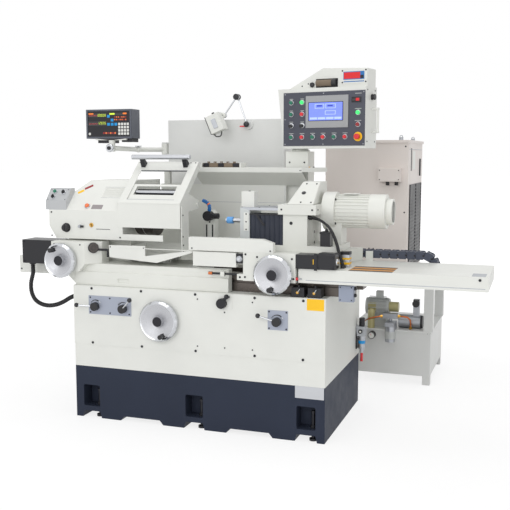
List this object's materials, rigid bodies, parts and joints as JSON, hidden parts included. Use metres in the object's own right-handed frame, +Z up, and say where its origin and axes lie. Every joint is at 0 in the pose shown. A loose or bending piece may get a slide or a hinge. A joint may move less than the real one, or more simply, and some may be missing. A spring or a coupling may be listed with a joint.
{
  "type": "internal grinding machine",
  "caption": "Internal cylindrical grinder on a cast base, with a chuck workhead, a belt-driven wheelhead on a travelling table, a pendant, cabinets and a hydraulic unit.",
  "frame": {"origin": "on the floor under the middle of the base's footprint", "axes": "+X along the table from the workhead to the wheelhead, +Y to the rear, +Z up"},
  "size_m": [2.784, 2.064, 2.022],
  "materials": {
    "white_paint": "semi-gloss enamel",
    "white_casting": "painted casting",
    "dark_paint": "dark blue-grey paint",
    "grey_paint": "satin enamel",
    "beige_paint": "satin enamel",
    "plate_aluminium": "satin",
    "black_box": "black painted housing",
    "black_plastic": "matte",
    "red_plastic": "gloss",
    "white_plastic": "gloss",
    "bright_steel": "machined",
    "dark_steel": "oiled steel",
    "copper": "bare copper",
    "belt_rubber": "matte",
    "abrasive": "vitrified abrasive, light blue"
  },
  "bodies": {
    "base": {"base_casting": "dark_paint", "levelling_bolts": "dark_steel", "bed_cabinet": "white_paint", "front_panel": "white_paint", "bed_casting": "white_casting", "table_ways": "dark_steel", "control_plates": "plate_aluminium", "feed_housing": "white_paint", "feed_motor": "black_box", "conduit": "black_plastic", "rear_cabinet": "grey_paint", "splash_guard": "white_paint", "pendant_column": "white_paint", "hydraulic_tank": "grey_paint", "pump_motor": "grey_paint", "valve_stack": "plate_aluminium", "copper_pipes": "copper", "control_cabinet": "beige_paint", "air_unit": "plate_aluminium", "limit_switches": "black_box", "drip_tray": "white_paint"},
    "door": {"cabinet_door": "grey_paint"},
    "carriage": {"table_saddle": "white_casting", "feed_plate": "white_paint", "front_guards": "white_paint", "servo_motors": "black_box", "table_cover": "white_paint", "cable_chain": "black_plastic"},
    "wheel_slide": {"wheelhead_housing": "white_casting", "belt_cover": "white_paint", "wheelhead_motor": "white_casting", "bellows": "black_plastic", "quill_plate": "white_casting", "wheelhead_cables": "black_plastic", "spindle_bearings": "bright_steel", "drive_belt": "belt_rubber"},
    "spindle": {"wheel_spindle": "bright_steel", "grinding_wheel": "abrasive"},
    "rotor": {"motor_rotor": "dark_steel"},
    "cross_wheel": {"cross_handwheel": "bright_steel"},
    "table_wheel": {"table_handwheel": "bright_steel"},
    "work_wheel": {"workhead_handwheel": "bright_steel"},
    "workhead": {"workhead_slide": "white_casting", "workhead_housing": "white_paint"},
    "work_drive": {"work_spindle": "bright_steel", "work_chuck": "dark_steel"},
    "guard": {"chuck_guard": "white_paint"},
    "dresser": {"dresser_arm": "black_plastic"},
    "lever_left": {"left_lever": "black_plastic"},
    "lever_second": {"second_lever": "black_plastic"},
    "lever_reverse": {"reverse_lever": "black_plastic"},
    "lever_right": {"right_lever": "black_plastic"},
    "pendant": {"pendant_box": "plate_aluminium"},
    "estop": {"estop_button": "red_plastic"},
    "buttons": {"push_buttons": "black_plastic"},
    "readout_arm": {"dro_arm": "white_paint"},
    "readout": {"dro_unit": "black_plastic"},
    "lamp_low": {"lamp_lower_arm": "plate_aluminium"},
    "lamp_up": {"lamp_upper_arm": "plate_aluminium"},
    "lamp": {"lamp_head": "white_plastic"}
  },
  "joints": [
    {"name": "table_slide", "type": "slide", "parent": "base", "child": "carriage", "axis": [1, 0, 0], "range_m": [-0.31, 0.06], "deforming": ["cable_chain"]},
    {"name": "table_handwheel_turn", "type": "hinge", "parent": "base", "child": "table_wheel", "pos_m": [-0.197, -0.43, 0.606], "axis": [0, 1, 0], "range_deg": [-1861, 361]},
    {"name": "cross_handwheel_turn", "type": "hinge", "parent": "carriage", "child": "cross_wheel", "pos_m": [0.473, -0.446, 0.9], "axis": [0, 1, 0], "range_deg": [-1440, 1440]},
    {"name": "cross_slide", "type": "slide", "parent": "carriage", "child": "wheel_slide", "axis": [0, 1, 0], "range_m": [-0.0401, 0.0401], "deforming": ["wheelhead_cables"]},
    {"name": "workhead_handwheel_turn", "type": "hinge", "parent": "base", "child": "work_wheel", "pos_m": [-0.808, -0.446, 0.924], "axis": [0, 1, 0], "range_deg": [-1080, 1080]},
    {"name": "workhead_slide", "type": "slide", "parent": "base", "child": "workhead", "axis": [0, 1, 0], "range_m": [-0.0301, 0.0301]},
    {"name": "motor_spin", "type": "hinge", "parent": "wheel_slide", "child": "rotor", "pos_m": [0.76, -0.11, 1.22], "axis": [1, 0, 0], "continuous": true},
    {"name": "wheel_spin", "type": "hinge", "parent": "wheel_slide", "child": "spindle", "pos_m": [0.4, -0.2, 1.16], "axis": [1, 0, 0], "continuous": true},
    {"name": "work_spin", "type": "hinge", "parent": "workhead", "child": "work_drive", "pos_m": [-0.4, -0.2, 1.16], "axis": [1, 0, 0], "continuous": true},
    {"name": "guard_swing", "type": "hinge", "parent": "workhead", "child": "guard", "pos_m": [-0.3, -0.12, 1.24], "axis": [-1, 0, 0], "range_deg": [0, 35]},
    {"name": "dresser_swing", "type": "hinge", "parent": "base", "child": "dresser", "pos_m": [-0.09, 0.027, 1.163], "axis": [0, -1, 0], "range_deg": [-20, 90]},
    {"name": "left_lever_turn", "type": "hinge", "parent": "base", "child": "lever_left", "pos_m": [-0.604, -0.43, 0.663], "axis": [0, 1, 0], "range_deg": [-40, 40]},
    {"name": "second_lever_turn", "type": "hinge", "parent": "base", "child": "lever_second", "pos_m": [-0.427, -0.43, 0.659], "axis": [0, 1, 0], "range_deg": [-40, 40]},
    {"name": "reverse_lever_turn", "type": "hinge", "parent": "base", "child": "lever_reverse", "pos_m": [0.174, -0.43, 0.726], "axis": [0, 1, 0], "range_deg": [-25, 25]},
    {"name": "right_lever_turn", "type": "hinge", "parent": "base", "child": "lever_right", "pos_m": [0.487, -0.43, 0.645], "axis": [0, 1, 0], "range_deg": [-40, 40]},
    {"name": "pendant_swivel", "type": "hinge", "parent": "base", "child": "pendant", "pos_m": [0.386, 0.346, 1.562], "axis": [0, 0, 1], "range_deg": [-35, 60]},
    {"name": "estop_press", "type": "slide", "parent": "pendant", "child": "estop", "axis": [0.1977, 0.9803, 0], "range_m": [0, 0.004], "stiffness_N_per_m": 900, "springref_m": -0.002},
    {"name": "buttons_press", "type": "slide", "parent": "pendant", "child": "buttons", "axis": [0.1977, 0.9803, 0], "range_m": [0, 0.004], "stiffness_N_per_m": 900, "springref_m": -0.002},
    {"name": "readout_arm_swivel", "type": "hinge", "parent": "base", "child": "readout_arm", "pos_m": [-0.578, 0.47, 1.56], "axis": [0, 0, 1], "range_deg": [-40, 25]},
    {"name": "readout_turn", "type": "hinge", "parent": "readout_arm", "child": "readout", "pos_m": [-0.805, 0.165, 1.59], "axis": [0, 0, 1], "range_deg": [-60, 60]},
    {"name": "lamp_shoulder", "type": "hinge", "parent": "base", "child": "lamp_low", "pos_m": [0.018, 0.412, 1.716], "axis": [0, 1, 0], "range_deg": [-30, 30]},
    {"name": "lamp_elbow", "type": "hinge", "parent": "lamp_low", "child": "lamp_up", "pos_m": [-0.044, 0.3917, 1.886], "axis": [0, 1, 0], "range_deg": [-45, 30]},
    {"name": "lamp_wrist", "type": "hinge", "parent": "lamp_up", "child": "lamp", "pos_m": [-0.128, 0.3714, 1.773], "axis": [0, 1, 0], "range_deg": [-35, 35]},
    {"name": "cabinet_door_swing", "type": "hinge", "parent": "base", "child": "door", "pos_m": [-0.547, 0.851, 0.9], "axis": [0, 0, 1], "range_deg": [0, 100]}
  ],
  "couplings": [
    {"joint": "table_handwheel_turn", "follows": "table_slide", "rad_per_m": 104.72},
    {"joint": "cross_slide", "follows": "cross_handwheel_turn", "m_per_rad": 0.0015915},
    {"joint": "workhead_slide", "follows": "workhead_handwheel_turn", "m_per_rad": 0.0015915},
    {"joint": "wheel_spin", "follows": "motor_spin", "ratio": 1.9375}
  ]
}
